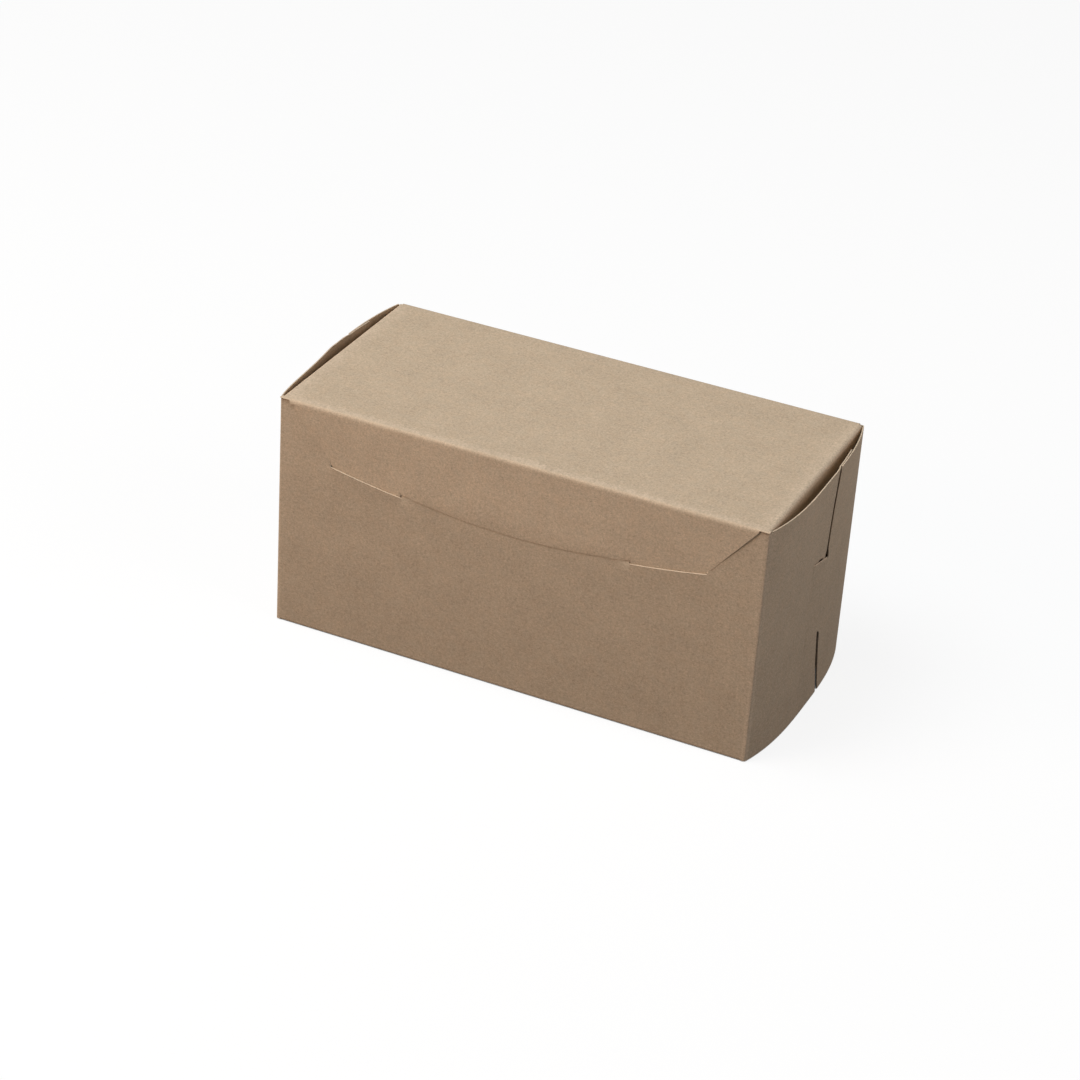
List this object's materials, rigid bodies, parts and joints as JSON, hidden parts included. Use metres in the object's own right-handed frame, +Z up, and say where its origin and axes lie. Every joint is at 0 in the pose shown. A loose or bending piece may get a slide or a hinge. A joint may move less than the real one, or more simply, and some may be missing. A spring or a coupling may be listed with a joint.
{
  "type": "folding kraft box",
  "caption": "Low rectangular one-piece kraft paperboard box with a hinged tuck lid, a curved front flap and interlocking end flaps.",
  "frame": {"origin": "middle of the box's outside, front flap included, on the face that it stands on", "axes": "+X along the length to the right end, +Y from the front to the hinged rear, +Z up"},
  "size_m": [0.2152, 0.1004, 0.1],
  "materials": {
    "kraft_board": "matt uncoated kraft paperboard",
    "kraft_crease": "matt kraft paperboard, stretched and paler at the fold",
    "kraft_inside": "matt uncoated kraft paperboard, inner face"
  },
  "bodies": {
    "box": {"base_panel": "kraft_board", "front_wall": "kraft_board", "rear_wall": "kraft_board", "base_front_crease": "kraft_crease", "base_rear_crease": "kraft_crease", "lid_hinge_crease": "kraft_crease", "base_side_crease_left": "kraft_crease", "base_side_crease_right": "kraft_crease", "front_corner_crease_left": "kraft_crease", "front_corner_crease_right": "kraft_crease", "rear_corner_crease_left": "kraft_crease", "rear_corner_crease_right": "kraft_crease"},
    "lid": {"lid_panel": "kraft_board", "lid_front_crease": "kraft_crease", "lid_side_crease_left": "kraft_crease", "lid_side_crease_right": "kraft_crease"},
    "front_flap": {"lid_front_flap": "kraft_board", "lid_lock_tab_left": "kraft_board", "lid_lock_tab_right": "kraft_board"},
    "dust_flap_left": {"lid_dust_flap_left": "kraft_inside"},
    "dust_flap_right": {"lid_dust_flap_right": "kraft_inside"},
    "base_flap_left": {"base_side_flap_left": "kraft_inside"},
    "base_flap_right": {"base_side_flap_right": "kraft_inside"},
    "front_end_flap_left": {"front_side_flap_left": "kraft_board", "front_flap_tongue_left": "kraft_board"},
    "front_end_flap_right": {"front_side_flap_right": "kraft_board", "front_flap_tongue_right": "kraft_board"},
    "rear_end_flap_left": {"rear_side_flap_left": "kraft_board", "rear_flap_tab_left": "kraft_board"},
    "rear_end_flap_right": {"rear_side_flap_right": "kraft_board", "rear_flap_tab_right": "kraft_board"}
  },
  "joints": [
    {"name": "lid_hinge", "type": "hinge", "parent": "box", "child": "lid", "pos_m": [0, 0.04972, 0.09955], "axis": [-1, 0, 0], "range_deg": [0, 180], "deforming": ["lid_hinge_crease"]},
    {"name": "front_flap_hinge", "type": "hinge", "parent": "lid", "child": "front_flap", "pos_m": [0, -0.04972, 0.09955], "axis": [-1, 0, 0], "range_deg": [0, 90], "deforming": ["lid_front_crease", "lid_lock_tab_left", "lid_lock_tab_right"]},
    {"name": "dust_flap_left_hinge", "type": "hinge", "parent": "lid", "child": "dust_flap_left", "pos_m": [-0.10085, 0, 0.09955], "axis": [0, -1, 0], "range_deg": [0, 80], "deforming": ["lid_side_crease_left"]},
    {"name": "dust_flap_right_hinge", "type": "hinge", "parent": "lid", "child": "dust_flap_right", "pos_m": [0.10085, 0, 0.09955], "axis": [0, 1, 0], "range_deg": [0, 80], "deforming": ["lid_side_crease_right"]},
    {"name": "base_flap_left_hinge", "type": "hinge", "parent": "box", "child": "base_flap_left", "pos_m": [-0.10085, 0, 0.00045], "axis": [0, 1, 0], "range_deg": [0, 85], "deforming": ["base_side_crease_left"]},
    {"name": "base_flap_right_hinge", "type": "hinge", "parent": "box", "child": "base_flap_right", "pos_m": [0.10085, 0, 0.00045], "axis": [0, -1, 0], "range_deg": [0, 85], "deforming": ["base_side_crease_right"]},
    {"name": "front_end_flap_left_hinge", "type": "hinge", "parent": "box", "child": "front_end_flap_left", "pos_m": [-0.10105, -0.04897, 0.05], "axis": [0, 0, 1], "range_deg": [0, 90], "deforming": ["front_corner_crease_left", "front_flap_tongue_left"]},
    {"name": "front_end_flap_right_hinge", "type": "hinge", "parent": "box", "child": "front_end_flap_right", "pos_m": [0.10105, -0.04897, 0.05], "axis": [0, 0, -1], "range_deg": [0, 90], "deforming": ["front_corner_crease_right", "front_flap_tongue_right"]},
    {"name": "rear_end_flap_left_hinge", "type": "hinge", "parent": "box", "child": "rear_end_flap_left", "pos_m": [-0.10105, 0.04972, 0.05], "axis": [0, 0, -1], "range_deg": [0, 90], "deforming": ["rear_corner_crease_left", "rear_flap_tab_left"]},
    {"name": "rear_end_flap_right_hinge", "type": "hinge", "parent": "box", "child": "rear_end_flap_right", "pos_m": [0.10105, 0.04972, 0.05], "axis": [0, 0, 1], "range_deg": [0, 90], "deforming": ["rear_corner_crease_right", "rear_flap_tab_right"]}
  ]
}
